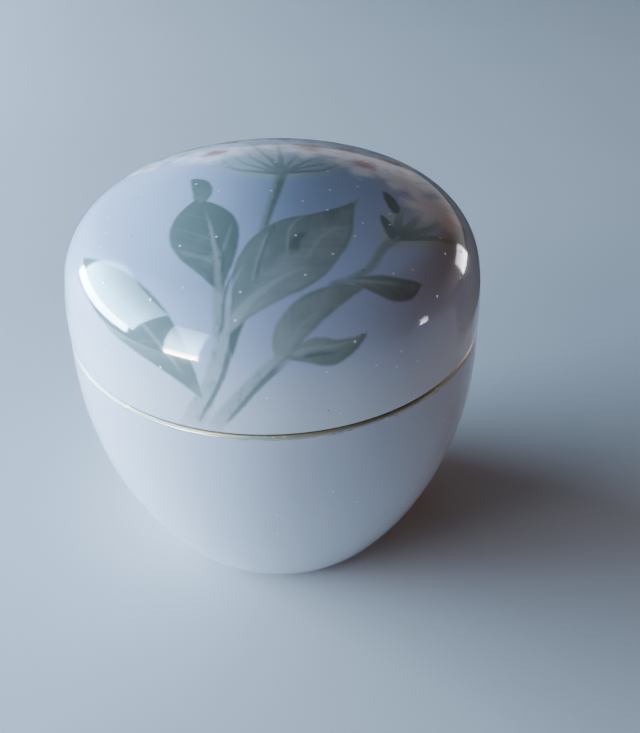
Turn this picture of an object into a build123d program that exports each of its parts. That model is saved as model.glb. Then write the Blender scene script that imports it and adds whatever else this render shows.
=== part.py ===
"""A round porcelain trinket box: a footed bowl and a domed lid that lifts off.

Both pieces are bodies of revolution about Z. The box stands on its foot ring at z = 0, with the
origin at the middle of the ring, and the lid rests on a ledge around a raised flange of the bowl.
A thin band of fired gold lies round the bowl's rim and another round the lid's lower edge.
Sizes are in millimetres and angles in degrees.
"""

from build123d import *
from math import asin, cos, degrees, radians, sin, sqrt
import os

os.makedirs("parts", exist_ok=True)

# The joint: the level plane where the lid rests, and the outside radius there.
joint_height = 59.0
joint_radius = 45.0

# Lid, outside. The wall bulges a little, the shoulder turns it over and the crown closes it.
# An angle is the elevation of the surface's outward normal.
lid_wall_radius = 57.0
lid_wall_lean = 2.8
shoulder_radius = 15.4
shoulder_start = 10.8
crown_start = 68.0
lid_thickness = 3.4
lid_edge_round = 0.8
lid_inner_edge_round = 0.5

# Bowl, outside. The belly is a large arc, and the heel a small one that runs in to the foot.
belly_radius = 86.0
belly_lean = 5.0
heel_radius = 20.0
heel_start = 32.3
rim_round = 1.0

# Foot ring.
foot_outer_radius = 27.3
foot_inner_radius = 24.2
foot_height = 1.3
foot_recess = 2.0
foot_edge_round = 0.5

# Bowl, inside. The wall follows the belly, then turns to a flat floor.
bowl_thickness = 3.2
floor_thickness = 3.2
floor_turn_start = 25.0

# Flange that the lid fits over, and the step under it where the inside widens.
flange_outer_radius = 41.1
flange_inner_radius = 38.7
flange_height = 4.0
flange_top_round = 1.1
flange_root_round = 0.3
throat_height = 57.0
throat_foot_height = 53.0
throat_round = 3.0

# Gold bands, let into the rounded edges either side of the joint.
gilt_thickness = 0.3
bowl_gilt_start = 30.0
bowl_gilt_end = 85.0
lid_gilt_start = -85.0
lid_gilt_end = -35.0


def along(centre, radius, angle):
    """The point at that angle on a circle."""
    return (centre[0] + radius * cos(radians(angle)), centre[1] + radius * sin(radians(angle)))


def rounding_centre(centre, radius, height):
    """The point at that height on a circle's outer side, where a rounded edge has its centre."""
    return (centre[0] + sqrt(radius**2 - (height - centre[1]) ** 2), height)


# Centres of the lid's arcs, each tangent to the one before.
lid_wall_centre = along((joint_radius, joint_height), lid_wall_radius, 180 - lid_wall_lean)
shoulder_centre = along(lid_wall_centre, lid_wall_radius - shoulder_radius, shoulder_start)
crown_edge = along(shoulder_centre, shoulder_radius, crown_start)
crown_radius = crown_edge[0] / cos(radians(crown_start))
crown_centre = (0, crown_edge[1] - crown_radius * sin(radians(crown_start)))

# Centres of the bowl's arcs, outside.
belly_centre = along((joint_radius, joint_height), belly_radius, 180 + belly_lean)
heel_centre = along(belly_centre, belly_radius - heel_radius, -heel_start)
heel_end = degrees(asin((heel_centre[1] - foot_height) / heel_radius))

# The arc inside the bowl that is tangent to the wall and to the floor.
inside_radius = belly_radius - bowl_thickness
inside_start = degrees(asin((throat_foot_height - belly_centre[1]) / inside_radius))
floor_height = foot_recess + floor_thickness
turn_drop = sin(radians(floor_turn_start))
turn_radius = (belly_centre[1] - floor_height - inside_radius * turn_drop) / (1 - turn_drop)
turn_centre = along(belly_centre, inside_radius - turn_radius, -floor_turn_start)

# Centres of the rounded edges that carry the gold.
rim_centre = rounding_centre(belly_centre, belly_radius - rim_round, joint_height - rim_round)
lid_edge_centre = rounding_centre(
    lid_wall_centre, lid_wall_radius - lid_edge_round, joint_height + lid_edge_round
)


def gilt_corners(centre, radius, start, end):
    """The four corners of a band's section, from one end of its face round the back to the other."""
    back = radius - gilt_thickness
    corners = ((radius, start), (back, start), (back, end), (radius, end))
    return [along(centre, distance, angle) for distance, angle in corners]


bowl_gilt_corners = gilt_corners(rim_centre, rim_round, bowl_gilt_start, bowl_gilt_end)
lid_gilt_corners = gilt_corners(lid_edge_centre, lid_edge_round, lid_gilt_start, lid_gilt_end)


def dome(inset):
    """Adds the lid's half outline, moved in by inset, down to the joint and closed on the axis."""
    wall_radius = lid_wall_radius - inset
    wall_start = degrees(asin((joint_height - lid_wall_centre[1]) / wall_radius))
    wall = CenterArc(lid_wall_centre, wall_radius, wall_start, shoulder_start - wall_start)
    CenterArc(
        shoulder_centre, shoulder_radius - inset, shoulder_start, crown_start - shoulder_start
    )
    crown = CenterArc(crown_centre, crown_radius - inset, crown_start, 90 - crown_start)
    Polyline(crown @ 1, (0, joint_height), wall @ 0)


def corner(sketch, point):
    """The sketch's vertex at that radius and height."""
    return sketch.vertices().sort_by_distance(Vector(*point))[0]


# Each band has a flat face, and the groove it fills is open to the rounding.
with BuildPart() as bowl_gilt_band:
    with BuildSketch(Plane.XZ):
        with BuildLine():
            Polyline(*bowl_gilt_corners, close=True)
        make_face()
    revolve(axis=Axis.Z)

with BuildPart() as bowl_groove:
    with BuildSketch(Plane.XZ):
        with BuildLine():
            Polyline(*bowl_gilt_corners)
            CenterArc(rim_centre, rim_round, bowl_gilt_start, bowl_gilt_end - bowl_gilt_start)
        make_face()
    revolve(axis=Axis.Z)

with BuildPart() as lid_gilt_band:
    with BuildSketch(Plane.XZ):
        with BuildLine():
            Polyline(*lid_gilt_corners, close=True)
        make_face()
    revolve(axis=Axis.Z)

with BuildPart() as lid_groove:
    with BuildSketch(Plane.XZ):
        with BuildLine():
            Polyline(*lid_gilt_corners)
            CenterArc(lid_edge_centre, lid_edge_round, lid_gilt_start, lid_gilt_end - lid_gilt_start)
        make_face()
    revolve(axis=Axis.Z)

with BuildPart() as bowl:
    with BuildSketch(Plane.XZ) as bowl_section:
        with BuildLine():
            # Outside, from the rim down to the foot ring.
            belly = CenterArc(belly_centre, belly_radius, belly_lean, -belly_lean - heel_start)
            heel = CenterArc(heel_centre, heel_radius, -heel_start, heel_start - heel_end)
            # Foot ring and the recess inside it.
            Polyline(
                heel @ 1,
                (foot_outer_radius, foot_height),
                (foot_outer_radius, 0),
                (foot_inner_radius, 0),
                (foot_inner_radius, foot_recess),
                (0, foot_recess),
                (0, floor_height),
                (turn_centre[0], floor_height),
            )
            # Inside, from the floor up to the flange, and over it to the ledge.
            CenterArc(turn_centre, turn_radius, -90, 90 - floor_turn_start)
            wall = CenterArc(
                belly_centre, inside_radius, -floor_turn_start, floor_turn_start + inside_start
            )
            flange_top = joint_height + flange_height
            Polyline(
                wall @ 1,
                (flange_inner_radius, throat_height),
                (flange_inner_radius, flange_top),
                (flange_outer_radius, flange_top),
                (flange_outer_radius, joint_height),
                (joint_radius, joint_height),
            )
        make_face()
        fillet(corner(bowl_section, (joint_radius, joint_height)), rim_round)
        fillet(corner(bowl_section, (flange_outer_radius, joint_height)), flange_root_round)
        for edge_radius in (flange_inner_radius, flange_outer_radius):
            fillet(corner(bowl_section, (edge_radius, flange_top)), flange_top_round)
        fillet(corner(bowl_section, (flange_inner_radius, throat_height)), throat_round)
        fillet(corner(bowl_section, wall @ 1), throat_round)
        for edge_radius in (foot_inner_radius, foot_outer_radius):
            fillet(corner(bowl_section, (edge_radius, 0)), foot_edge_round)
        fillet(corner(bowl_section, (foot_outer_radius, foot_height)), foot_edge_round)
        fillet(corner(bowl_section, (foot_inner_radius, foot_recess)), foot_edge_round)
    revolve(axis=Axis.Z)
    add(bowl_groove.part, mode=Mode.SUBTRACT)

with BuildPart() as lid:
    with BuildSketch(Plane.XZ) as lid_section:
        with BuildLine():
            dome(0)
        make_face()
        with BuildLine():
            dome(lid_thickness)
        make_face(mode=Mode.SUBTRACT)
        inner_edge, outer_edge = lid_section.vertices().group_by(Axis.Y)[0].sort_by(Axis.X)
        fillet(outer_edge, lid_edge_round)
        fillet(inner_edge, lid_inner_edge_round)
    revolve(axis=Axis.Z)
    add(lid_groove.part, mode=Mode.SUBTRACT)

bowl.part.label = "bowl"
bowl_gilt_band.part.label = "bowl_gilt_band"
lid.part.label = "lid"
lid_gilt_band.part.label = "lid_gilt_band"

export_step(bowl.part, "parts/bowl.step")
export_step(bowl_gilt_band.part, "parts/bowl_gilt_band.step")
export_step(lid.part, "parts/lid.step")
export_step(lid_gilt_band.part, "parts/lid_gilt_band.step")
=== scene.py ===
"""Looks of the porcelain trinket box: pale glaze, a spray painted under it, and worn gilding.

Each CAD node is replaced by a finer mesh turned from the same arcs, in the same place. Outlines are
(radius, height) in millimetres, and angles are degrees. The painting is laid out on the lid rolled
flat: x and y in millimetres from the apex along the surface, +x to the right, -y to the viewer.
"""

import math
from collections import namedtuple

import bpy
import numpy as np
from mathutils import Matrix, Vector


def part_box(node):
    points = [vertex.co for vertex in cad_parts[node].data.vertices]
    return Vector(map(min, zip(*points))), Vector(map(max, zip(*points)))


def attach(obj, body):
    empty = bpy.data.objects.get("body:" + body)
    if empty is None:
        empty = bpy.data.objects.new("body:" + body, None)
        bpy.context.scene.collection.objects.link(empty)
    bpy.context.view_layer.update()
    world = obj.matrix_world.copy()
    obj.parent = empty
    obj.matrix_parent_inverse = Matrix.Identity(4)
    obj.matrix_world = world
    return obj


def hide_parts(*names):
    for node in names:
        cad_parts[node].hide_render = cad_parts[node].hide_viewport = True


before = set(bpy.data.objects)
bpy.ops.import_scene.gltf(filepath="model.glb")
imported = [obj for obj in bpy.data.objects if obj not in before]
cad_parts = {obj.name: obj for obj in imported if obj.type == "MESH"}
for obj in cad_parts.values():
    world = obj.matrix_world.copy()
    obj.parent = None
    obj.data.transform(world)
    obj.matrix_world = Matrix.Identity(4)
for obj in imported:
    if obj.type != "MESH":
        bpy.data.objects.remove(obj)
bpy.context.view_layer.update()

MM = 0.001
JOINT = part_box("lid")[0].z / MM
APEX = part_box("lid")[1].z / MM
FLANGE_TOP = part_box("bowl")[1].z / MM

# ---------------------------------------------------------------- driving dimensions

JOINT_RADIUS = 45.0
LID_WALL_RADIUS = 57.0
LID_WALL_LEAN = 2.8
SHOULDER_RADIUS = 15.4
SHOULDER_START = 10.8
CROWN_START = 68.0
LID_THICKNESS = 3.4
LID_EDGE_ROUND = 0.8
LID_INNER_ROUND = 0.5

BELLY_RADIUS = 86.0
BELLY_LEAN = 5.0
HEEL_RADIUS = 20.0
HEEL_START = 32.3
RIM_ROUND = 1.0
BOWL_THICKNESS = 3.2
FLOOR_THICKNESS = 3.2
FLOOR_TURN = 25.0
FLANGE_OUTER = 41.1
FLANGE_INNER = 38.7
FLANGE_TOP_ROUND = 1.1
FLANGE_ROOT_ROUND = 0.3
THROAT_TOP = 57.0
THROAT_FOOT = 53.0
THROAT_ROUND = 1.8
FOOT_OUTER = 27.3
FOOT_INNER = 24.2
FOOT_HEIGHT = 1.3
FOOT_RECESS = 2.0
FOOT_ROUND = 0.5
FOOT_FILLET = 0.3

# The gold film lies in a shallow groove, and the ledge is ground a hair below the rim.
BOWL_GILT = (30.0, 85.0)
LID_GILT = (-35.0, -85.0)
GROOVE = 0.10
GILT_CLEARANCE = 0.02
LEDGE_DROP = 0.03

# Where the glaze stops: how far up the flange it is bare, and in from the lid's outer seat edge.
BARE_FLANGE = 2.2
SEAT_MARGIN = 0.2

# Mesh steps: round the axis, on the painted outside, and elsewhere.
SEGMENTS = 544
FINE = 0.55
MEDIUM = 1.3
COARSE = 2.6
TIGHT = 0.16


# ---------------------------------------------------------------- outlines


def along(centre, radius, angle):
    """The point at that angle on a circle."""
    x = centre[0] + radius * math.cos(math.radians(angle))
    return (x, centre[1] + radius * math.sin(math.radians(angle)))


def angle_at(centre, radius, height):
    """The angle at which the outer side of a circle passes that height."""
    return math.degrees(math.asin((height - centre[1]) / radius))


def angle_of(centre, point):
    """The angle at which a circle's centre sees the point."""
    return math.degrees(math.atan2(point[1] - centre[1], point[0] - centre[0]))


def arc(centre, radius, start, end, step):
    """Points along an arc, no further apart than step."""
    count = max(2, math.ceil(radius * math.radians(abs(end - start)) / step)) + 1
    return [along(centre, radius, angle) for angle in np.linspace(start, end, count)]


def run(start, end, step):
    """Points along a straight line, no further apart than step."""
    count = max(1, math.ceil(math.dist(start, end) / step)) + 1
    return [tuple(point) for point in np.linspace(start, end, count)]


def rounded(corners, radii):
    """A line through corners, the inner ones rounded to radii."""
    made = [corners[0]]
    for before, here, after, radius in zip(corners, corners[1:], corners[2:], radii):
        back = Vector(before) - Vector(here)
        ahead = Vector(after) - Vector(here)
        back.normalize()
        ahead.normalize()
        half = back.angle(ahead) / 2
        centre = Vector(here) + (back + ahead).normalized() * radius / math.sin(half)
        start = angle_of(centre, Vector(here) + back * radius / math.tan(half))
        end = angle_of(centre, Vector(here) + ahead * radius / math.tan(half))
        turn = (end - start + 180) % 360 - 180
        made += arc(centre, radius, start, start + turn, TIGHT)
    return made + [corners[-1]]


def joined(*stretches):
    """One outline from stretches, without the points that repeat where they meet."""
    made = [stretches[0][0]]
    for stretch in stretches:
        made += [point for point in stretch if math.dist(point, made[-1]) > 1e-4]
    return made


def subdivided(points, step):
    """The outline with points added on its straight stretches."""
    made = [points[0]]
    for start, end in zip(points, points[1:]):
        made += run(start, end, step)[1:]
    return made


# Centres of the lid's arcs, each tangent to the one before.
lid_wall_centre = along((JOINT_RADIUS, JOINT), LID_WALL_RADIUS, 180 - LID_WALL_LEAN)
shoulder_centre = along(lid_wall_centre, LID_WALL_RADIUS - SHOULDER_RADIUS, SHOULDER_START)
crown_edge = along(shoulder_centre, SHOULDER_RADIUS, CROWN_START)
crown_radius = crown_edge[0] / math.cos(math.radians(CROWN_START))
crown_centre = (0.0, crown_edge[1] - crown_radius * math.sin(math.radians(CROWN_START)))

# Centres of the bowl's arcs, outside and inside.
belly_centre = along((JOINT_RADIUS, JOINT), BELLY_RADIUS, 180 + BELLY_LEAN)
heel_centre = along(belly_centre, BELLY_RADIUS - HEEL_RADIUS, -HEEL_START)
floor_height = FOOT_RECESS + FLOOR_THICKNESS
inside_radius = BELLY_RADIUS - BOWL_THICKNESS
turn_drop = math.sin(math.radians(FLOOR_TURN))
turn_radius = (belly_centre[1] - floor_height - inside_radius * turn_drop) / (1 - turn_drop)
turn_centre = along(belly_centre, inside_radius - turn_radius, -FLOOR_TURN)

# Centres of the rounded edges that carry the gold.
rim_height = JOINT - RIM_ROUND
rim_centre = along(
    belly_centre,
    BELLY_RADIUS - RIM_ROUND,
    angle_at(belly_centre, BELLY_RADIUS - RIM_ROUND, rim_height),
)
edge_height = JOINT + LID_EDGE_ROUND
edge_centre = along(
    lid_wall_centre,
    LID_WALL_RADIUS - LID_EDGE_ROUND,
    angle_at(lid_wall_centre, LID_WALL_RADIUS - LID_EDGE_ROUND, edge_height),
)


def grooved(centre, radius, start, end, gilt):
    """A rounded edge from start to end, with the gold's groove sunk into it."""
    first, last = gilt
    floor = arc(centre, radius - GROOVE, first, last, TIGHT)
    return joined(
        arc(centre, radius, start, first, TIGHT), floor, arc(centre, radius, last, end, TIGHT)
    )


def film(centre, radius, gilt):
    """The closed section of the gold film, clear of its groove all round."""
    first, last = sorted(gilt)
    slack = math.degrees(GILT_CLEARANCE / radius)
    face = arc(centre, radius, first + slack, last - slack, TIGHT)
    back = arc(centre, radius - GROOVE + GILT_CLEARANCE, last - slack, first + slack, TIGHT)
    return (face + back)[::-1]


def lid_outline():
    """From the apex down the outside, across the seat and up the inside, with the seat's two ends."""
    wall_end = angle_of(lid_wall_centre, edge_centre)
    outside = joined(
        arc(crown_centre, crown_radius, 90, CROWN_START, FINE),
        arc(shoulder_centre, SHOULDER_RADIUS, CROWN_START, SHOULDER_START, FINE),
        arc(lid_wall_centre, LID_WALL_RADIUS, SHOULDER_START, wall_end, FINE),
        grooved(edge_centre, LID_EDGE_ROUND, wall_end, -90, LID_GILT),
    )
    inner_wall = LID_WALL_RADIUS - LID_THICKNESS
    inner_start = angle_at(lid_wall_centre, inner_wall, JOINT + LID_INNER_ROUND)
    inner_foot = along(lid_wall_centre, inner_wall, inner_start)
    corner = (inner_foot[0], JOINT)

    # The round ends a hair before the inner wall starts.
    seat = rounded([outside[-1], corner, inner_foot], [LID_INNER_ROUND * 0.98])
    inside = joined(
        arc(lid_wall_centre, inner_wall, inner_start, SHOULDER_START, COARSE),
        arc(shoulder_centre, SHOULDER_RADIUS - LID_THICKNESS, SHOULDER_START, CROWN_START, 1.0),
        arc(crown_centre, crown_radius - LID_THICKNESS, CROWN_START, 90, COARSE),
    )
    return joined(outside, seat, inside), outside[-1], seat[-2]


def bowl_inside(ledge):
    """From the middle of the floor up the wall, in through the throat, over the flange to the ledge."""
    wall_top = angle_at(belly_centre, inside_radius, THROAT_FOOT)
    wall = arc(belly_centre, inside_radius, -FLOOR_TURN, wall_top, COARSE)
    corners = [
        wall[-2],
        wall[-1],
        (FLANGE_INNER, THROAT_TOP),
        (FLANGE_INNER, FLANGE_TOP),
        (FLANGE_OUTER, FLANGE_TOP),
        (FLANGE_OUTER, ledge),
        (rim_centre[0], ledge),
    ]
    radii = [THROAT_ROUND, THROAT_ROUND, FLANGE_TOP_ROUND, FLANGE_TOP_ROUND, FLANGE_ROOT_ROUND]
    flange = rounded(corners, radii)
    return joined(
        run((0.0, floor_height), (turn_centre[0], floor_height), COARSE),
        arc(turn_centre, turn_radius, -90, -FLOOR_TURN, COARSE),
        wall[:-2],
        subdivided(flange[1:-1], 1.0),
    )


def bowl_outline():
    """From the middle of the floor over the flange and down the outside, with the rim's start."""
    ledge = JOINT - LEDGE_DROP
    rim_top = 180 - angle_at(rim_centre, RIM_ROUND, ledge)
    belly_top = angle_of(belly_centre, rim_centre)
    heel_end = angle_at(heel_centre, HEEL_RADIUS, FOOT_HEIGHT + FOOT_FILLET)
    rim = grooved(rim_centre, RIM_ROUND, 180 - rim_top, belly_top, BOWL_GILT[::-1])
    foot = rounded(
        [
            along(heel_centre, HEEL_RADIUS, heel_end),
            (FOOT_OUTER, FOOT_HEIGHT),
            (FOOT_OUTER, 0.0),
            (FOOT_INNER, 0.0),
            (FOOT_INNER, FOOT_RECESS),
            (0.0, FOOT_RECESS),
        ],
        [FOOT_FILLET, FOOT_ROUND, FOOT_ROUND, FOOT_ROUND],
    )
    outside = joined(
        rim,
        arc(belly_centre, BELLY_RADIUS, belly_top, -HEEL_START, MEDIUM),
        arc(heel_centre, HEEL_RADIUS, -HEEL_START, heel_end, MEDIUM),
        subdivided(foot[1:], COARSE),
    )
    return joined(bowl_inside(ledge), [rim[0]], outside), rim[0]


# ---------------------------------------------------------------- turned meshes

Turned = namedtuple("Turned", "piece reach angles rows")


def turned(name, outline):
    """A mesh turned from an outline that starts and ends on the axis, or from a ring's closed section."""
    closed = outline[0][0] > TIGHT
    rings = np.array(outline if closed else outline[1:-1])
    spin = np.arange(SEGMENTS) * 2 * math.pi / SEGMENTS
    x = np.outer(rings[:, 0], np.cos(spin))
    y = np.outer(rings[:, 0], np.sin(spin))
    z = np.repeat(rings[:, 1:], SEGMENTS, axis=1)
    points = np.stack([x, y, z], axis=-1).reshape(-1, 3)
    column = np.arange(SEGMENTS)
    after = (column + 1) % SEGMENTS
    shift = 0 if closed else 1
    faces, rows, columns = [], [], []
    for row in range(len(rings) if closed else len(rings) - 1):
        upper = row * SEGMENTS
        lower = (row + 1) % len(rings) * SEGMENTS
        quads = [upper + column, lower + column, lower + after, upper + after]
        faces += np.stack(quads, axis=1).tolist()
        top = row + shift
        rows += [top, top + 1, top + 1, top] * SEGMENTS
        columns += np.stack([column, column, column + 1, column + 1], axis=1).ravel().tolist()
    if not closed:
        start, end = len(points), len(points) + 1
        last = (len(rings) - 1) * SEGMENTS
        points = np.vstack([points, [0, 0, outline[0][1]], [0, 0, outline[-1][1]]])
        faces += [[start, k, j] for k, j in zip(column.tolist(), after.tolist())]
        faces += [[last + k, end, last + j] for k, j in zip(column.tolist(), after.tolist())]
        rows += [0, 1, 1] * SEGMENTS + [len(rings), len(rings) + 1, len(rings)] * SEGMENTS
        middle = column + 0.5
        columns += np.stack([middle, column, column + 1], axis=1).ravel().tolist()
        columns += np.stack([column, middle, column + 1], axis=1).ravel().tolist()
    mesh = bpy.data.meshes.new(name)
    mesh.from_pydata((points * MM).tolist(), [], faces)
    mesh.shade_smooth()
    piece = bpy.data.objects.new(name, mesh)
    bpy.context.scene.collection.objects.link(piece)
    ends = outline[1:] + outline[:1] if closed else outline[1:]
    steps = [math.dist(a, b) for a, b in zip(outline, ends)]
    reach = np.concatenate([[0.0], np.cumsum(steps)])
    angles = np.array(columns) * 2 * math.pi / SEGMENTS
    return Turned(piece, reach, angles, np.array(rows))


def reach_of_vertices(made):
    """How far along the outline each vertex lies, in millimetres."""
    rings = np.repeat(made.reach[1:-1], SEGMENTS)
    return np.concatenate([rings, made.reach[[0, -1]]])


def reach_at(outline, point):
    """How far along the outline a point on it lies."""
    steps = [math.dist(a, b) for a, b in zip(outline, outline[1:])]
    closest = min(range(len(outline)), key=lambda k: math.dist(outline[k], point))
    return sum(steps[:closest])


def keep(mesh, name, values, domain="POINT"):
    """Stores numbers or vectors on the mesh for the materials to read."""
    kind = "FLOAT" if values.ndim == 1 else "FLOAT_VECTOR"
    field = "value" if values.ndim == 1 else "vector"
    stored = mesh.attributes.new(name, kind, domain)
    stored.data.foreach_set(field, values.astype(np.float32).ravel())


# Texture places: the middle and the radius of each disc, and the ring's inner radius and width.
BIG_DISC = (0.42, 0.41)
SMALL_DISC = (0.832, 0.158)
RING = (0.30, 0.19)


def unwrap(made, split, outer_is_first):
    """Lays the large side out as a big disc and the other as a small one."""
    total = made.reach[-1]
    reach = made.reach[made.rows]
    corners = np.array([polygon.loop_total for polygon in made.piece.data.polygons])
    first_row = np.array([made.rows[polygon.loop_start] for polygon in made.piece.data.polygons])
    is_first = np.repeat(made.reach[first_row] < split - 1e-3, corners)
    share = np.where(is_first, reach / split, (total - reach) / (total - split))
    big = is_first == outer_is_first
    centre = np.where(big, BIG_DISC[0], SMALL_DISC[0])
    radius = np.where(big, BIG_DISC[1], SMALL_DISC[1]) * share
    place_on_uv(made, centre, radius)


def unwrap_ring(made):
    """Lays a ring's section out across an annulus."""
    share = made.reach[made.rows] / made.reach[-1]
    place_on_uv(made, np.full(len(share), 0.5), RING[0] + RING[1] * share)


def place_on_uv(made, centre, radius):
    """Writes the texture places, and the distances round and down the piece for its patterns."""
    mesh = made.piece.data
    u = centre + radius * np.cos(made.angles)
    v = centre + radius * np.sin(made.angles)
    layer = mesh.uv_layers.new(name="OFBake")
    layer.data.foreach_set("uv", np.stack([u, v], axis=1).astype(np.float32).ravel())
    girth = made.angles * JOINT_RADIUS
    wrap = np.stack([girth, made.reach[made.rows], np.zeros(len(girth))], axis=1)
    keep(mesh, "wrap", wrap, "CORNER")


# ---------------------------------------------------------------- the painting, rolled flat

FAR = 50.0
MARGIN = 9.5
MIDRIB_BLEND = 2.4
STEMS_WHOLE = 57.0
STEMS_GONE = 68.0
DEEPEST = (5.0, -4.0, 0.0)
Leaf = namedtuple("Leaf", "spine left right light")
Stroke = namedtuple("Stroke", "spine start end tone")
Bloom = namedtuple("Bloom", "x y radius petals heart")

# A leaf's side is its greatest half width, where along the leaf that is, and how pointed its ends are.
BACK_LEAVES = (
    Leaf(
        [(-7.5, -36), (-8.5, -28), (-10, -22), (-12, -15), (-14, -8.5)],
        (7.9, 0.60, 1.9),
        (5.4, 0.61, 2.8),
        (0.10, 0.00),
    ),
    Leaf(
        [(-13.3, -11), (-13.8, -6), (-14.6, -2.5), (-16.2, 0.8)],
        (1.5, 0.45, 1.2),
        (2.6, 0.50, 1.6),
        (0.05, 0.10),
    ),
    Leaf(
        [(-14.5, -55), (-18, -47), (-22, -40), (-28, -32), (-33, -25), (-38, -17)],
        (6.4, 0.54, 2.1),
        (4.7, 0.48, 1.8),
        (-0.15, -0.25),
    ),
    Leaf(
        [(3.0, -48.2), (4.4, -43.6), (8.6, -38.8), (14, -35), (18.5, -32.8)],
        (3.0, 0.44, 1.2),
        (3.1, 0.34, 1.3),
        (0.80, 0.75),
    ),
    Leaf(
        [(-6.4, -47.6), (-5.6, -43.6), (-4.3, -40.6), (-2.6, -38.4), (-0.8, -36.8)],
        (0.9, 0.55, 1.2),
        (1.1, 0.50, 1.2),
        (-0.20, -0.20),
    ),
    Leaf(
        [(25.6, -10.5), (24.8, -7), (23.4, -2.5)],
        (1.1, 0.40, 1.2),
        (1.5, 0.50, 1.2),
        (0.05, 0.20),
    ),
)
FRONT_LEAVES = (
    Leaf(
        [(-7, -44), (-4, -38), (0, -31), (6, -24), (12, -17.5), (18, -7.5)],
        (7.7, 0.49, 4.0),
        (8.6, 0.47, 3.2),
        (0.46, 0.74),
    ),
    Leaf(
        [(14.5, -32), (20, -31.8), (26, -31), (30.5, -28.4)],
        (2.4, 0.54, 1.9),
        (2.6, 0.61, 3.1),
        (0.50, 0.35),
    ),
    Leaf(
        [(4, -47), (9, -46), (14, -45.6), (20, -41)],
        (2.6, 0.44, 4.0),
        (2.5, 0.45, 1.4),
        (0.80, 0.55),
    ),
    Leaf(
        [(24.6, -19.5), (23.6, -16), (22.3, -11.8)],
        (0.9, 0.45, 1.5),
        (1.3, 0.50, 1.5),
        (0.20, 0.30),
    ),
)

# A stroke's start and end are its half widths there.
STEMS = (
    Stroke([(-20.5, -61.5), (-16.5, -57.5), (-13.2, -54.3)], 3.4, 1.9, 0.9),
    Stroke([(-13.2, -54.3), (-10.2, -50), (-8.0, -46), (-6.6, -42), (-5.6, -39.5)], 1.9, 1.7, 0.8),
    Stroke([(-8.2, -43), (-8.2, -37), (-8.3, -31), (-9.0, -25)], 1.2, 0.9, 0.6),
    Stroke([(-13.5, -61.5), (-7.5, -56.8), (-2.2, -52.2), (2.2, -48.4), (4.8, -46.4)], 1.8, 0.8, 0.7),
    Stroke([(-0.6, -20), (0.4, -14), (1.4, -8), (2.1, -3), (2.5, 1.5)], 0.7, 1.3, 0.3),
    Stroke([(12.5, -33.2), (17, -30.6), (20, -27.5), (22.2, -22.5), (25, -18.5)], 0.6, 0.9, 0.3),
)
RAYS = (
    Stroke([(2.4, 0), (-2, 1), (-6, 2.3), (-9, 5), (-10.5, 9)], 0.75, 0.35, 0.4),
    Stroke([(2, 0.8), (-2, 3), (-6, 6.5), (-8.5, 12)], 0.5, 0.25, 0.6),
    Stroke([(2, 1), (-1, 4.5), (-4, 9), (-6, 14)], 0.6, 0.3, 0.5),
    Stroke([(2, 1), (0.6, 6), (-2, 12), (-4, 18), (-6, 24)], 0.6, 0.3, 0.5),
    Stroke([(2.4, 1), (2.1, 7), (1.4, 14), (0.5, 22)], 0.6, 0.3, 0.5),
    Stroke([(2.6, 0.6), (5, 1.1), (8, 1.9), (11, 3.1), (14.5, 7.5)], 0.75, 0.35, 0.3),
    Stroke([(2.6, 0.8), (6, 3), (9.5, 5.5), (13, 7.5)], 0.5, 0.3, 0.4),
    Stroke([(2.6, 1), (5, 3.6), (8, 8), (10.5, 11)], 0.6, 0.3, 0.5),
    Stroke([(2.5, 1), (3.4, 4), (5.2, 10.5)], 0.5, 0.3, 0.5),
    Stroke([(25, -18.5), (25.6, -15), (26, -12), (26.8, -8)], 0.9, 0.7, 0.1),
    Stroke([(25, -18.5), (27, -15.5), (28.5, -13), (30.5, -9)], 0.8, 0.6, 0.1),
    Stroke([(25, -18.5), (28.5, -15.5), (32, -13), (34.5, -9.5)], 0.8, 0.6, 0.1),
    Stroke([(25, -18.3), (30, -16.5), (34, -14.8), (38, -13.4), (41, -11.5)], 0.9, 0.5, 0.2),
)

# Lines drawn last, over everything: midribs and pale edges, then shadows and dark edges.
PALE_LINES = (
    Stroke([(-8.4, -36), (-8.8, -28.5), (-9.8, -23), (-10.8, -18), (-12, -13.5)], 0.70, 0.12, 0.65),
    Stroke([(-9.4, -28), (-11.2, -26.8), (-13.6, -25.6), (-17, -23.6)], 0.50, 0.16, 0.3),
    Stroke([(-8.7, -27), (-7.6, -23.5), (-6.6, -17.5)], 0.45, 0.16, 0.3),
    Stroke([(-7.2, -41), (-6.6, -36.5), (-5.4, -32.5), (-4, -29.5)], 0.40, 0.15, 0.8),
    Stroke([(-6.3, -42), (-3.6, -38.6), (-0.8, -35.6), (3.2, -32.2), (7.5, -29.5)], 0.95, 0.2, 0.8),
    Stroke([(-2.2, -33.5), (-1.2, -27), (0.4, -20)], 0.30, 0.14, 0.5),
    Stroke([(4.2, -27), (4.2, -21.5), (5.4, -17.5), (8.5, -14.5)], 0.30, 0.12, 0.5),
    Stroke([(7.6, -27.5), (10.5, -21.5), (14.5, -17.6)], 0.35, 0.12, 0.4),
    Stroke([(-17.6, -48.8), (-19, -46), (-23, -39.4), (-28.5, -32), (-33, -25.5)], 0.34, 0.12, 0.5),
    Stroke([(4.4, -45.8), (7, -41.8), (11, -38)], 0.30, 0.10, 0.4),
    Stroke([(5.4, -46.9), (9.5, -45.6), (14, -44.6), (18, -42.6)], 0.45, 0.15, 0.7),
    Stroke([(15, -31.8), (20, -31.2), (25.5, -30.3)], 0.35, 0.15, 0.6),
)
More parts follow.
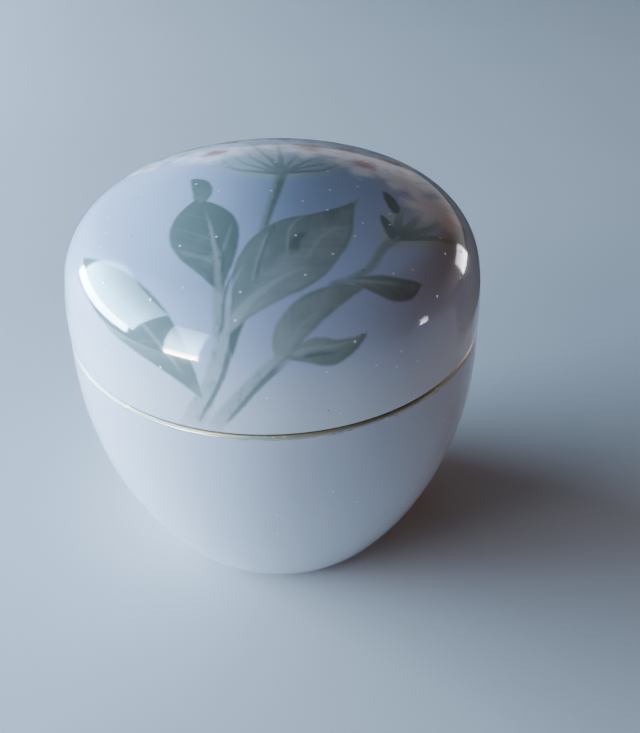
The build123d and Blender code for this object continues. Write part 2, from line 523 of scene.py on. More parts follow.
DARK_LINES = (
    Stroke([(-18, -60.4), (-13.8, -56.6), (-11, -53.8), (-8.2, -50), (-5.4, -43.4)], 0.34, 0.60, 0.9),
    Stroke([(-8.5, -43.6), (-7.5, -41.0), (-7.3, -37.5), (-6.7, -33.8), (-5.4, -30)], 0.32, 0.18, 0.8),
    Stroke([(-10.4, -61), (-6, -57.6), (-2.6, -54.4), (0.6, -51.5), (4.9, -47.6)], 0.35, 0.66, 0.9),
    Stroke([(-7.9, -31), (-7.7, -27), (-8.9, -23), (-9.8, -20)], 0.26, 0.10, 0.8),
    Stroke([(-8.8, -34), (-10.6, -30.5), (-12.4, -29)], 0.28, 0.10, 0.5),
    Stroke([(5.2, -25.6), (5.8, -22.6), (7.6, -20)], 1.05, 0.45, 0.6),
    Stroke([(-1.6, -32.5), (-0.6, -27), (1.0, -20.5)], 0.25, 0.12, 0.5),
    Stroke([(-0.2, -20), (0.8, -14), (1.8, -8), (2.4, -3), (2.8, 0.6)], 0.25, 0.70, 0.7),
    Stroke([(7.6, -47.3), (10.4, -46.6), (14.4, -45.8)], 0.26, 0.12, 0.7),
)
BLOOMS = (
    Bloom(-13.0, 16.0, 6.6, 6, 1.0),
    Bloom(8.0, 18.5, 7.4, 7, 1.0),
    Bloom(19.8, 10.5, 6.8, 6, 1.0),
    Bloom(-3.0, 22.5, 6.4, 6, 0.4),
    Bloom(-20.5, 20.5, 5.6, 5, 0.4),
    Bloom(-29.0, 17.5, 4.2, 5, 0.4),
    Bloom(16.5, 21.0, 6.6, 6, 0.5),
    Bloom(27.0, 17.0, 6.0, 6, 0.7),
    Bloom(28.5, 5.5, 5.6, 6, 0.2),
    Bloom(34.0, -4.5, 5.8, 6, 0.1),
    Bloom(1.5, 30.5, 6.6, 6, 0.8),
    Bloom(-10.5, 28.5, 6.0, 6, 0.6),
    Bloom(13.5, 30.5, 5.8, 6, 0.4),
)


def smooth(points, per_span=16):
    """A Catmull-Rom curve through the given points."""
    points = np.array(points, float)
    ends = [2 * points[0] - points[1], *points, 2 * points[-1] - points[-2]]
    t = np.linspace(0, 1, per_span, endpoint=False)[:, None]
    made = []
    for a, b, c, d in zip(ends, ends[1:], ends[2:], ends[3:]):
        linear = (c - a) * t
        square = (2 * a - 5 * b + 4 * c - d) * t**2
        cube = (3 * b - a - 3 * c + d) * t**3
        made.append((2 * b + linear + square + cube) / 2)
    return np.vstack([*made, points[-1:]])


def nearest(points, curve):
    """The share along the curve of each point's nearest place, its signed distance, and the length."""
    steps = np.diff(curve, axis=0)
    lengths = np.linalg.norm(steps, axis=1)
    reach = np.concatenate([[0.0], np.cumsum(lengths)])
    best = np.full(len(points), np.inf)
    where = np.zeros(len(points))
    side = np.ones(len(points))
    for k, (start, step) in enumerate(zip(curve, steps)):
        offset = points - start
        share = np.clip(offset @ step / lengths[k] ** 2, 0, 1)
        gap = offset - share[:, None] * step
        distance = np.hypot(gap[:, 0], gap[:, 1])
        closer = distance < best
        best[closer] = distance[closer]
        where[closer] = reach[k] + share[closer] * lengths[k]
        turn = step[0] * gap[:, 1] - step[1] * gap[:, 0]
        side[closer] = np.where(turn < 0, -1.0, 1.0)[closer]
    return where / reach[-1], best * side, reach[-1]


def leaf_width(share, side):
    """Half the leaf's width at each share of its length."""
    widest, fullest, point = side
    share = np.clip(share, 1e-4, 1 - 1e-4)
    rise = (share / fullest) ** fullest * ((1 - share) / (1 - fullest)) ** (1 - fullest)
    return widest * rise**point


def lay(flat, strokes, half_width):
    """For each flat point: place along, offset and distance to the edge, then width, share and tone."""
    place = np.zeros((len(flat), 3))
    place[:, 2] = FAR
    mark = np.zeros((len(flat), 3))
    for stroke in strokes:
        curve = smooth(stroke.spine)
        inside = (flat > curve.min(0) - MARGIN) & (flat < curve.max(0) + MARGIN)
        here = np.flatnonzero(inside.all(axis=1))
        share, offset, length = nearest(flat[here], curve)
        width, tone = half_width(stroke, share, offset)
        edge = np.abs(offset) - width
        closer = edge < place[here, 2]
        rows = here[closer]
        place[rows] = np.stack([share * length, offset, edge], axis=1)[closer]
        mark[rows] = np.stack([width, share, tone], axis=1)[closer]
    return place, mark


def leaf_half(leaf, share, offset):
    """The half width and the lightness on the side of the midrib that each point is on."""
    left, right = leaf_width(share, leaf.left), leaf_width(share, leaf.right)
    on_left = np.clip(offset / MIDRIB_BLEND + 0.5, 0, 1)
    tone = on_left * leaf.light[0] + (1 - on_left) * leaf.light[1]
    return np.where(offset > 0, left, right), tone


def stroke_half(stroke, share, offset):
    """The half width and tone of a brush stroke that widens or narrows evenly."""
    width = stroke.start + (stroke.end - stroke.start) * share
    return width, np.full(len(share), stroke.tone)


def lay_blooms(flat):
    """For each flat point: the petal field, the distance from the heart and its strength, and creases."""
    field = np.full((len(flat), 3), FAR)
    crease = np.zeros(len(flat))
    for bloom in BLOOMS:
        x, y = flat[:, 0] - bloom.x, flat[:, 1] - bloom.y
        distance = np.hypot(x, y)
        turn = bloom.petals * np.arctan2(y, x) + bloom.x
        petal = distance / bloom.radius * (1 + 0.11 * np.cos(turn))
        closer = petal < field[:, 0]
        rest = [petal, distance / (0.58 * bloom.radius), np.full(len(flat), bloom.heart)]
        field[closer] = np.stack(rest, axis=1)[closer]
        crease[closer] = (0.5 + 0.5 * np.cos(turn[closer])) ** 3
    return field, crease


# ---------------------------------------------------------------- materials

WHITE = (1.0, 1.0, 1.0, 1.0)


class Shader:
    """The nodes of a material, light or world. A value is a number, a colour, or another's output."""

    def __init__(self, owner):
        owner.use_nodes = True
        self.owner = owner
        self.tree = owner.node_tree
        self.tree.nodes.clear()

    def node(self, kind, values, output=0, **settings):
        """Adds a node with those settings and inputs, and returns one of its outputs."""
        made = self.tree.nodes.new(kind)
        for key, value in settings.items():
            setattr(made, key, value)
        for key, value in values.items():
            self.set(made.inputs[key], value)
        return made.outputs[output]

    def set(self, socket, value):
        """Links an output to the socket, or sets its value."""
        if isinstance(value, bpy.types.NodeSocket):
            self.tree.links.new(value, socket)
        else:
            socket.default_value = value

    def math(self, operation, *values):
        return self.node("ShaderNodeMath", dict(enumerate(values)), operation=operation)

    def add(self, a, b):
        return self.math("ADD", a, b)

    def scale(self, a, b):
        return self.math("MULTIPLY", a, b)

    def step(self, value, low, high):
        """A soft step that is 0 at low and 1 at high, whichever is larger."""
        values = {"Value": value, "From Min": low, "From Max": high}
        return self.node("ShaderNodeMapRange", values, interpolation_type="SMOOTHSTEP")

    def mix(self, share, under, over):
        values = {0: share, 6: under, 7: over}
        return self.node("ShaderNodeMix", values, output=2, data_type="RGBA")

    def blend(self, share, under, over):
        values = {0: share, 2: under, 3: over}
        return self.node("ShaderNodeMix", values, data_type="FLOAT")

    def math_vector(self, operation, *values):
        return self.node("ShaderNodeVectorMath", dict(enumerate(values)), operation=operation)

    def stored(self, name):
        """A vector kept on the mesh."""
        return self.node("ShaderNodeAttribute", {}, output=1, attribute_name=name)

    def number(self, name):
        """A number kept on the mesh."""
        return self.node("ShaderNodeAttribute", {}, output=2, attribute_name=name)

    def split(self, vector):
        return self.node("ShaderNodeSeparateXYZ", {0: vector}).node.outputs

    def vector(self, x, y, z=0.0):
        return self.node("ShaderNodeCombineXYZ", {0: x, 1: y, 2: z})

    def object_space(self):
        return self.node("ShaderNodeTexCoord", {}, output=3)

    def noise(self, place, scale, detail=2.0, roughness=0.5, distortion=0.0):
        """Cloudy noise, with scale in cycles per unit of place."""
        values = {
            "Vector": place,
            "Scale": scale,
            "Detail": detail,
            "Roughness": roughness,
            "Distortion": distortion,
        }
        return self.node("ShaderNodeTexNoise", values)

    def cells(self, place, scale):
        """The distance to scattered points, in cells, and a random number for each."""
        values = {"Vector": place, "Scale": scale}
        made = self.node("ShaderNodeTexVoronoi", values, voronoi_dimensions="2D").node
        return made.outputs["Distance"], self.split(made.outputs["Color"])[0]

    def surface(self, bump_height=None, bump_distance=1.0, **values):
        """The Principled surface, its bump and the material's output."""
        shader = self.node("ShaderNodeBsdfPrincipled", {}).node
        for key, value in values.items():
            self.set(shader.inputs[key.replace("_", " ")], value)
        if bump_height is not None:
            bump = {"Height": bump_height, "Distance": bump_distance, "Strength": 1.0}
            self.set(shader.inputs["Normal"], self.node("ShaderNodeBump", bump))
        output = self.tree.nodes.new("ShaderNodeOutputMaterial")
        self.tree.links.new(shader.outputs[0], output.inputs[0])
        return self.owner

    def glow(self, kind, output, colour, strength):
        """The emission of a light or a world."""
        emission = self.node(kind, {"Color": colour, "Strength": strength})
        self.tree.links.new(emission, self.tree.nodes.new(output).inputs[0])


GREEN_DARK = (0.148, 0.195, 0.178, 1.0)
GREEN = (0.245, 0.305, 0.280, 1.0)
GREEN_LIGHT = (0.360, 0.425, 0.405, 1.0)
STEM_PALE = (0.450, 0.525, 0.535, 1.0)
UMBEL = (0.460, 0.540, 0.510, 1.0)
PETAL = (0.920, 0.920, 0.930, 1.0)
PETAL_FOLD = (0.600, 0.640, 0.720, 1.0)
HEART = (0.400, 0.170, 0.180, 1.0)
MILK = (0.680, 0.720, 0.775, 1.0)
PALE_SKY = (0.570, 0.620, 0.700, 1.0)
SKY = (0.450, 0.540, 0.720, 1.0)
DEEP = (0.350, 0.430, 0.580, 1.0)
BISQUE = (0.620, 0.590, 0.540, 1.0)
BISQUE_DARK = (0.480, 0.450, 0.410, 1.0)
# Near-white specks: kiln dust, partly a painted glint off their raised tops.
DUST_AND_GLINT = (0.950, 0.950, 0.950, 1.0)
PIT = (0.120, 0.120, 0.120, 1.0)
GOLD_RUBBED = (0.470, 0.420, 0.290, 1.0)
GOLD = (0.400, 0.320, 0.180, 1.0)
GOLD_DULL = (0.250, 0.225, 0.165, 1.0)
# Brighter gold for small flecks: remnants of bright gold, painted partly as glints.
GOLD_GLINT = (0.700, 0.560, 0.300, 1.0)
GOLD_GONE = (0.340, 0.330, 0.290, 1.0)
# The colour of the painted shade in the joint between the two gold bands.
JOINT_SHADE = (0.045, 0.034, 0.024, 1.0)
PAPER = (0.420, 0.420, 0.430, 1.0)
PAPER_PALE = (0.460, 0.460, 0.470, 1.0)
FELT = (0.010, 0.010, 0.012, 1.0)
FELT_PALE = (0.025, 0.023, 0.022, 1.0)


def painted_leaves(shader, under, layer, flat):
    """Leaves in soft washes that pale towards the stalk, with faint side veins and pooled edges."""
    place, offset, edge = shader.split(shader.stored(layer + "_place"))
    width, share, tone = shader.split(shader.stored(layer + "_mark"))
    wobble = shader.add(shader.noise(flat, 0.40, 3.0), -0.5)
    ragged = shader.add(edge, shader.scale(wobble, 0.5))
    mask = shader.step(ragged, 0.46, -0.40)
    away = shader.math("ABSOLUTE", offset)

    # Brush streaks and veins both leave the midrib and sweep towards the tip.
    sweep = shader.add(place, shader.scale(away, -1.15))
    streaks = shader.noise(shader.vector(sweep, shader.scale(away, 0.12), tone), 0.6, 2.0)
    clouds = shader.noise(flat, 0.13, 3.0)
    light = shader.add(tone, shader.scale(shader.add(streaks, -0.5), 0.35))
    light = shader.add(light, shader.scale(shader.add(clouds, -0.5), 0.8))
    light = shader.add(light, shader.scale(shader.add(share, -0.45), -0.4))
    wash = shader.mix(shader.step(light, -0.1, 0.5), GREEN_DARK, GREEN)
    wash = shader.mix(shader.step(light, 0.4, 1.0), wash, GREEN_LIGHT)

    pooled = shader.scale(shader.step(ragged, -1.3, -0.3), shader.step(clouds, 0.35, 0.65))
    wash = shader.mix(shader.scale(pooled, 0.35), wash, GREEN_DARK)

    side = shader.scale(shader.step(offset, -0.05, 0.05), 0.45)
    turn = shader.math("FRACT", shader.add(shader.scale(sweep, 1 / 6.8), side))
    vein = shader.step(shader.math("ABSOLUTE", shader.add(turn, -0.5)), 0.085, 0.01)
    inner = shader.step(shader.math("DIVIDE", away, width), 0.85, 0.35)
    vein = shader.scale(shader.scale(vein, inner), shader.step(streaks, 0.35, 0.6))
    wash = shader.mix(shader.scale(vein, 0.12), wash, GREEN_LIGHT)
    wash = shader.mix(shader.scale(shader.step(share, 0.12, 0.0), 0.45), wash, STEM_PALE)
    return shader.mix(shader.scale(mask, 0.95), under, wash)


def stroke_edge(shader, layer, slack):
    """Signed distance to a stroke's edge, with its share and tone.

    The distance kept on the mesh misses the middle of thin strokes by up to slack, so the offset
    across the stroke takes over there.
    """
    _, offset, edge = shader.split(shader.stored(layer + "_place"))
    width, share, tone = shader.split(shader.stored(layer + "_mark"))
    across = shader.add(shader.math("ABSOLUTE", offset), shader.scale(width, -1.0))
    return shader.math("MAXIMUM", across, shader.add(edge, -slack)), share, tone


def fading_out(shader, flat):
    """1 over the painting, falling towards the lid's edge, where the stems leave it."""
    rolled = shader.node("ShaderNodeVectorMath", {0: flat}, output=1, operation="LENGTH")
    return shader.step(rolled, STEMS_GONE, STEMS_WHOLE)


def painted_stems(shader, under, flat):
    """Broad pale stems with soft sides."""
    edge, _, tone = stroke_edge(shader, "stem", 0.04)
    wobble = shader.add(shader.noise(flat, 0.6, 3.0), -0.5)
    mask = shader.step(shader.add(edge, shader.scale(wobble, 0.6)), 0.70, -0.60)
    streaks = shader.noise(flat, 0.45, 3.0)
    body = shader.mix(shader.scale(tone, shader.step(streaks, 0.2, 0.55)), GREEN, STEM_PALE)
    mask = shader.scale(mask, fading_out(shader, flat))
    return shader.mix(shader.scale(mask, 0.84), under, body)


def painted_lines(shader, under, layer, flat, ink, strength):
    """Lines drawn with a fine brush, lighter where the brush was dry."""
    edge, share, tone = stroke_edge(shader, layer, 0.30)
    wobble = shader.add(shader.noise(flat, 0.8, 3.0), -0.5)
    mask = shader.step(shader.add(edge, shader.scale(wobble, 0.40)), 0.46, -0.34)
    ends = shader.scale(shader.step(share, 0.0, 0.10), shader.step(share, 1.0, 0.75))
    mask = shader.scale(shader.scale(mask, shader.add(shader.scale(ends, 0.7), 0.3)), tone)
    mask = shader.scale(shader.scale(mask, fading_out(shader, flat)), strength)
    return shader.mix(mask, under, ink)


def painted_rays(shader, under, flat):
    """Thin flower stalks with a translucent wash between them."""
    edge, share, tone = stroke_edge(shader, "ray", 0.15)
    wobble = shader.add(shader.noise(flat, 0.5, 3.0), -0.5)
    haze = shader.step(shader.add(edge, shader.scale(wobble, 2.0)), 3.8, 0.2)
    haze = shader.scale(haze, shader.blend(share, 0.95, 0.45))
    under = shader.mix(haze, under, UMBEL)
    mask = shader.step(shader.add(edge, shader.scale(wobble, 0.5)), 0.36, -0.22)
    mask = shader.scale(mask, shader.blend(share, 0.9, 0.20))
    return shader.mix(mask, under, shader.mix(tone, GREEN_DARK, GREEN_LIGHT))


def painted_blooms(shader, under, flat):
    """White petals that melt into each other, with soft folds and russet hearts."""
    petal, heart, strength = shader.split(shader.stored("bloom"))
    wobble = shader.add(shader.noise(flat, 0.35, 4.0), -0.5)
    petals = shader.step(shader.add(petal, shader.scale(wobble, 0.9)), 1.35, 0.75)
    fold = shader.scale(shader.number("crease"), shader.step(heart, 0.6, 1.4))
    white = shader.mix(shader.scale(fold, 0.55), PETAL, PETAL_FOLD)
    under = shader.mix(shader.scale(petals, 0.94), under, white)
    centre = shader.step(shader.add(heart, shader.scale(wobble, 1.2)), 1.15, 0.20)
    return shader.mix(shader.scale(shader.scale(centre, strength), 0.95), under, HEART)


def deepened(shader, under, flat):
    """The blue sprayed thicker behind the spray."""
    values = {0: flat, 1: DEEPEST}
    distance = shader.node("ShaderNodeVectorMath", values, output=1, operation="DISTANCE")
    ragged = shader.add(distance, shader.scale(shader.noise(flat, 0.05, 2.0), 8.0))
    return shader.mix(shader.scale(shader.step(ragged, 34.0, 10.0), 0.9), under, DEEP)


def specks(shader, wrap, size, share, radius):
    """Scattered round specks: how strongly each point is in one."""
    distance, chance = shader.cells(wrap, 1.0 / size)
    chosen = shader.math("LESS_THAN", chance, share)
    return shader.scale(shader.step(distance, radius / size, 0.4 * radius / size), chosen)


def ground(shader, height, clouds, painted):
    """The airbrushed ground, bluer at the top of each piece and milkier below."""
    if painted:
        level = shader.step(height, (JOINT + 2) * MM, (APEX - 8) * MM)
    else:
        level = shader.step(height, 6 * MM, JOINT * MM)
    level = shader.add(level, shader.scale(shader.add(clouds, -0.5), 0.35))
    return shader.mix(level, MILK, SKY if painted else PALE_SKY)


def spray(shader, colour, flat):
    """The whole painting, from the back to the front."""
    colour = deepened(shader, colour, flat)
    colour = painted_blooms(shader, colour, flat)
    colour = painted_rays(shader, colour, flat)
    colour = painted_stems(shader, colour, flat)
    colour = painted_leaves(shader, colour, "back", flat)
    colour = painted_leaves(shader, colour, "front", flat)
    colour = painted_lines(shader, colour, "pale", flat, STEM_PALE, 0.75)
    return painted_lines(shader, colour, "dark", flat, GREEN_DARK, 0.95)


def rubbed_gold(shader, wrap):
    """How strongly gold is rubbed over the shoulder of the bowl's rim, below the band."""
    smear = shader.noise(shader.math_vector("MULTIPLY", wrap, (0.22, 1.6, 0.0)), 1.0, 4.0, 0.6)
    below = shader.number("below_rim")
    low = shader.step(below, 2.7, 1.0)
    outer = shader.step(below, 0.0, 0.25)
    rubbed = shader.step(shader.add(low, shader.scale(shader.add(smear, -0.5), 1.5)), 0.45, 0.85)
    return shader.scale(shader.scale(rubbed, shader.step(low, 0.0, 0.25)), outer)


def glaze_relief(shader, here, dust_and_glint, pits, rough):
    """The glaze's slow swell and fine ripple, with raised dust, sunk pits and rough bisque."""
    swell = shader.scale(shader.noise(here, 55.0, 1.0), 0.9)
    ripple = shader.scale(shader.noise(here, 650.0, 1.0), 0.035)
    relief = shader.add(shader.add(swell, ripple), shader.scale(pits, -1.2))
    relief = shader.add(relief, shader.scale(dust_and_glint, 0.8))
    return shader.add(relief, shader.scale(rough, 0.5))


def porcelain(name, painted):
    """Glazed porcelain, with the spray under the glaze where painted, and bare bisque seats."""
    shader = Shader(bpy.data.materials.new(name))
    wrap = shader.stored("wrap")
    here = shader.object_space()
    clouds = shader.noise(here, 30.0, 3.0)
    colour = ground(shader, shader.split(here)[2], clouds, painted)
    across = wrap
    if painted:
        across = shader.stored("flat")
        colour = spray(shader, colour, across)

    # Pale specks of kiln dust, more of them on the lid, painted near white partly as a painted glint off
    # their raised tops, and a few dark pits.
    dust_and_glint = specks(shader, across, 5.6, 0.36 if painted else 0.10, 0.36)
    pits = specks(shader, across, 15.0, 0.25, 0.28)
    colour = shader.mix(shader.scale(dust_and_glint, 0.9), colour, DUST_AND_GLINT)
    colour = shader.mix(shader.scale(pits, 0.6), colour, PIT)
    rubbed = 0.0
    if not painted:
        rubbed = rubbed_gold(shader, wrap)
        colour = shader.mix(shader.scale(rubbed, 0.72), colour, GOLD_RUBBED)

    grain = shader.noise(here, 2600.0, 2.0)
    ragged = shader.add(shader.number("bare"), shader.scale(shader.add(clouds, -0.5), 0.5))
    bare = shader.step(ragged, 0.12, -0.10)
    biscuit = shader.mix(shader.step(grain, 0.35, 0.7), BISQUE, BISQUE_DARK)
    gloss = shader.blend(shader.noise(here, 90.0, 4.0), 0.045, 0.11)
    return shader.surface(
        bump_height=glaze_relief(shader, here, dust_and_glint, pits, shader.scale(grain, bare)),
        bump_distance=0.00005,
        Base_Color=shader.mix(bare, colour, biscuit),
        Roughness=shader.blend(bare, shader.blend(rubbed, gloss, 0.30), 0.72),
        Metallic=shader.scale(rubbed, 0.45),
        IOR=1.58,
    )


def gilding(name):
    """Thin fired gold, rubbed through to the glaze in places and dulled in others, with painted shade
    where the bands meet at the joint.
    """
    shader = Shader(bpy.data.materials.new(name))
    here = shader.object_space()
    fine = shader.noise(here, 900.0, 3.0, 0.6)
    patches = shader.add(shader.noise(here, 160.0, 5.0, 0.65), shader.scale(fine, 0.35))
    worn = shader.step(patches, 0.74, 0.90)
    dull = shader.step(shader.noise(here, 45.0, 3.0), 0.35, 0.65)
    gold = shader.mix(dull, GOLD, GOLD_DULL)
    # Brighter flecks of gold, painted partly as glints.
    gold = shader.mix(shader.step(fine, 0.58, 0.75), gold, GOLD_GLINT)
    colour = shader.mix(worn, gold, GOLD_GONE)

    # Painted shade darkens both bands where they face each other across the joint, standing for the gap's
    # shadow; the gold there is also made duller and rougher.
    height = shader.split(here)[2]
    depth = shader.math("ABSOLUTE", shader.add(height, -(JOINT + 0.12) * MM))
    joint_shade = shader.step(shader.add(depth, shader.scale(fine, 0.15 * MM)), 0.48 * MM, 0.26 * MM)
    colour = shader.mix(shader.scale(joint_shade, 0.92), colour, JOINT_SHADE)
    metal = shader.blend(shader.math("MAXIMUM", worn, joint_shade), 0.85, 0.0)
    roughness = shader.blend(shader.math("MAXIMUM", fine, joint_shade), 0.34, 0.62)
    return shader.surface(
        bump_height=shader.add(fine, shader.scale(worn, -0.6)),
        bump_distance=0.00001,
        Base_Color=colour,
        Metallic=metal,
        Roughness=roughness,
    )


# ---------------------------------------------------------------- pieces


def stand_for(piece, node, body, material):
    """Puts the piece in the CAD node's place, on its body, with its finish."""
    piece.data.materials.append(material)
    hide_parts(node)
    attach(piece, body)


def bare_distance(reach, zones):
    """Signed distance along the outline to the nearest bare zone's edge, negative inside."""
    distances = [np.abs(reach - (start + end) / 2) - (end - start) / 2 for start, end in zones]
    return np.min(distances, axis=0)


def make_lid():
    """The lid, with the painting's distances kept on its mesh."""
    outline, seat_start, seat_end = lid_outline()
    made = turned("porcelain_lid", outline)
    start, end = reach_at(outline, seat_start), reach_at(outline, seat_end)
    unwrap(made, end, True)
    mesh = made.piece.data
    reach = reach_of_vertices(made)
    keep(mesh, "bare", bare_distance(reach, [(start + SEAT_MARGIN, end)]))
    spin = np.arange(SEGMENTS) * 2 * math.pi / SEGMENTS
    angle = np.concatenate([np.tile(spin, len(outline) - 2), [0, 0]])
    flat = np.stack([reach * np.cos(angle), reach * np.sin(angle)], axis=1)
    keep(mesh, "flat", np.column_stack([flat, np.zeros(len(flat))]))
    layers = (
        ("back", BACK_LEAVES, leaf_half),
        ("front", FRONT_LEAVES, leaf_half),
        ("stem", STEMS, stroke_half),
        ("ray", RAYS, stroke_half),
        ("pale", PALE_LINES, stroke_half),
        ("dark", DARK_LINES, stroke_half),
    )
    for layer, strokes, half_width in layers:
        place, mark = lay(flat, strokes, half_width)
        keep(mesh, layer + "_place", place)
        keep(mesh, layer + "_mark", mark)
    bloom, crease = lay_blooms(flat)
    keep(mesh, "bloom", bloom)
    keep(mesh, "crease", crease)
    stand_for(made.piece, "lid", "lid", porcelain("lid_glaze", True))


def make_bowl():
    """The bowl, bare on the ledge, low on the flange and under the foot ring."""
    outline, rim_start = bowl_outline()
    made = turned("porcelain_bowl", outline)
    rim = reach_at(outline, rim_start)
    unwrap(made, rim, False)
    reach = reach_of_vertices(made)
    flange_side = reach_at(outline, (FLANGE_OUTER, JOINT + BARE_FLANGE))
    foot_start = reach_at(outline, (FOOT_OUTER, FOOT_ROUND))
    foot_end = reach_at(outline, (FOOT_INNER, FOOT_ROUND))
    zones = [(flange_side, rim), (foot_start, foot_end)]
    keep(made.piece.data, "bare", bare_distance(reach, zones))
    keep(made.piece.data, "below_rim", reach - rim)
    stand_for(made.piece, "bowl", "bowl", porcelain("bowl_glaze", False))


def make_gilt(name, section, node, body, material):
    """One ring of gold film."""
    made = turned(name, section)
    unwrap_ring(made)
    stand_for(made.piece, node, body, material)


# ---------------------------------------------------------------- stage

# The card's span is in degrees and its section in metres. The camera is in millimetres and degrees.
ROOM = (0.024, 0.023, 0.024, 1.0)
ROOM_LEFT = (0.120, 0.150, 0.200, 1.0)
ROOM_RIGHT = (0.026, 0.015, 0.009, 1.0)
FAR_WALL = (0.560, 0.570, 0.600, 1.0)
BACKDROP_LOW = (0.060, 0.068, 0.078, 1.0)
BACKDROP_HIGH = (0.330, 0.350, 0.380, 1.0)
CARD_SPAN = (10, 150)
CARD_SECTION = ((0.13, 0.002), (0.30, 0.010), (0.30, 0.060))
CAMERA_PLACE = (9.879, -170.590, 168.733)
CAMERA_PITCH = 36.7228
CAMERA_ROLL = 0.480
LENS = 44.20191
SENSOR = 36.0


def make_camera():
    """A close view from the front and well above."""
    data = bpy.data.cameras.new("camera")
    data.sensor_width = SENSOR
    data.lens = LENS
    data.clip_start = 0.01
    camera = bpy.data.objects.new("camera", data)
    bpy.context.scene.collection.objects.link(camera)
    tilt = Matrix.Rotation(math.radians(90 - CAMERA_PITCH), 4, "X")
    roll = Matrix.Rotation(math.radians(-CAMERA_ROLL), 4, "Z")
    camera.matrix_world = Matrix.Translation(Vector(CAMERA_PLACE) * MM) @ tilt @ roll
    bpy.context.scene.camera = camera


def softbox(name, azimuth, elevation, span, distance, radiance, colour, use="both"):
    """A rectangular light seen from the box at that azimuth and elevation, and that wide and high.

    Its use is "wash", which lights but isn't mirrored in the glaze, "glint", the reverse, or "both".
    A glint is brighter low down, as a window is.
    """
    wide, high = (2 * distance * math.tan(math.radians(angle) / 2) for angle in span)
    data = bpy.data.lights.new(name, "AREA")
    data.shape = "RECTANGLE"
    data.size = wide
    data.size_y = high
    data.energy = radiance * math.pi * wide * high
    data.color = colour
    if use == "glint":
        shader = Shader(data)
        place = shader.split(shader.node("ShaderNodeNewGeometry", {}, output=5))
        fall = shader.blend(shader.step(place[1], 0.0, 1.0), 1.6, 0.35)
        shader.glow("ShaderNodeEmission", "ShaderNodeOutputLight", WHITE, fall)
    light = bpy.data.objects.new(name, data)
    light.visible_glossy = use != "wash"
    light.visible_diffuse = use != "glint"
    bpy.context.scene.collection.objects.link(light)
    flat = math.cos(math.radians(elevation))
    direction = Vector(
        (
            flat * math.cos(math.radians(azimuth)),
            flat * math.sin(math.radians(azimuth)),
            math.sin(math.radians(elevation)),
        )
    )
    light.location = Vector((0, 0, JOINT * MM)) + direction * distance
    light.rotation_euler = direction.to_track_quat("Z", "Y").to_euler()


def make_world():
    """A dim room: bluish to the left, warmer to the right, with a paler wall low behind the box.

    The camera sees a plain grey backdrop in its place.
    """
    world = bpy.data.worlds.new("room")
    shader = Shader(world)
    x, y, z = shader.split(shader.node("ShaderNodeTexCoord", {}))
    colour = shader.mix(shader.step(x, 0.1, -1.0), ROOM, ROOM_LEFT)
    colour = shader.mix(shader.step(x, 0.0, 1.0), colour, ROOM_RIGHT)
    behind = shader.scale(shader.step(y, 0.0, 0.6), shader.step(z, 0.30, 0.02))
    colour = shader.mix(behind, colour, FAR_WALL)
    backdrop = shader.mix(shader.step(z, -0.02, 0.30), BACKDROP_LOW, BACKDROP_HIGH)
    colour = shader.mix(shader.node("ShaderNodeLightPath", {}), colour, backdrop)
    shader.glow("ShaderNodeBackground", "ShaderNodeOutputWorld", colour, 1.0)
    bpy.context.scene.world = world


def make_floor():
    """A wide plain surface under the box."""
    half = 3.0
    corners = [(-half, -half, 0), (half, -half, 0), (half, half, 0), (-half, half, 0)]
    mesh = bpy.data.meshes.new("floor")
    mesh.from_pydata(corners, [], [(0, 1, 2, 3)])
    floor = bpy.data.objects.new("floor", mesh)
    bpy.context.scene.collection.objects.link(floor)
    shader = Shader(bpy.data.materials.new("floor_paper"))
    mottle = shader.noise(shader.object_space(), 14.0, 4.0)
    colour = shader.mix(mottle, PAPER, PAPER_PALE)
    mesh.materials.append(shader.surface(Base_Color=colour, Roughness=0.85))


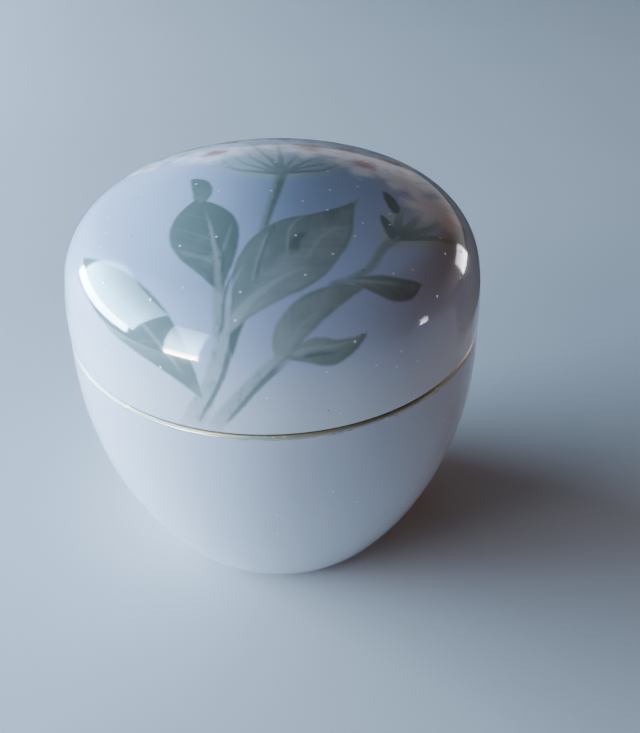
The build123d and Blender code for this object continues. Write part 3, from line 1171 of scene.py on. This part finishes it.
def make_black_card():
    """A low dark card behind the box, seen only in the glaze, where it draws the edge of the lid."""
    angles = np.radians(np.linspace(*CARD_SPAN, 57))
    round_box = list(zip(np.cos(angles), np.sin(angles)))
    points = [(radius * x, radius * y, z) for radius, z in CARD_SECTION for x, y in round_box]
    count = len(angles)
    starts = [row * count + k for row in range(len(CARD_SECTION) - 1) for k in range(count - 1)]
    faces = [(k, k + 1, count + k + 1, count + k) for k in starts]
    mesh = bpy.data.meshes.new("black_card")
    mesh.from_pydata(points, [], faces)
    card = bpy.data.objects.new("black_card", mesh)
    bpy.context.scene.collection.objects.link(card)
    card.visible_camera = False
    card.visible_diffuse = False
    card.visible_shadow = False
    shader = Shader(bpy.data.materials.new("black_felt"))
    nap = shader.noise(shader.object_space(), 60.0, 3.0)
    colour = shader.mix(nap, FELT, FELT_PALE)
    mesh.materials.append(shader.surface(Base_Color=colour, Roughness=0.9))


make_camera()
make_lid()
make_bowl()
gold = gilding("worn_gold")
make_gilt("bowl_gold_band", film(rim_centre, RIM_ROUND, BOWL_GILT), "bowl_gilt_band", "bowl", gold)
make_gilt(
    "lid_gold_band", film(edge_centre, LID_EDGE_ROUND, LID_GILT), "lid_gilt_band", "lid_rim", gold
)
make_world()
make_floor()
make_black_card()
softbox("window", 175, 25, (48, 38), 0.9, 3.6, (0.42, 0.69, 1.0), "wash")
softbox("window_pane", 175, 26, (48, 37), 0.9, 44.0, (0.36, 0.70, 1.0), "glint")
softbox("window_sill", 172, 5, (46, 8), 0.85, 172.0, (0.50, 0.73, 1.0))
softbox("back_window", 135, 8, (44, 14), 0.9, 5.0, (0.70, 0.82, 1.0), "wash")
softbox("side_window", -148, 18, (17, 30), 0.9, 12.5, (0.72, 0.80, 1.0), "wash")
softbox("side_pane", -134, 18, (18, 32), 0.9, 44.0, (0.42, 0.74, 1.0), "glint")
softbox("side_sill", -134, 1, (17, 6), 0.88, 170.0, (1.0, 0.97, 0.92), "glint")
softbox("lamp", 34, 3, (12, 17), 0.6, 18.0, (0.92, 0.95, 1.0), "glint")
softbox("low_lamp", -9, 1, (5, 6), 0.9, 12.0, (0.92, 0.95, 1.0), "glint")
softbox("warm_wall", 0, 14, (80, 20), 1.0, 0.75, (1.0, 0.42, 0.14), "wash")
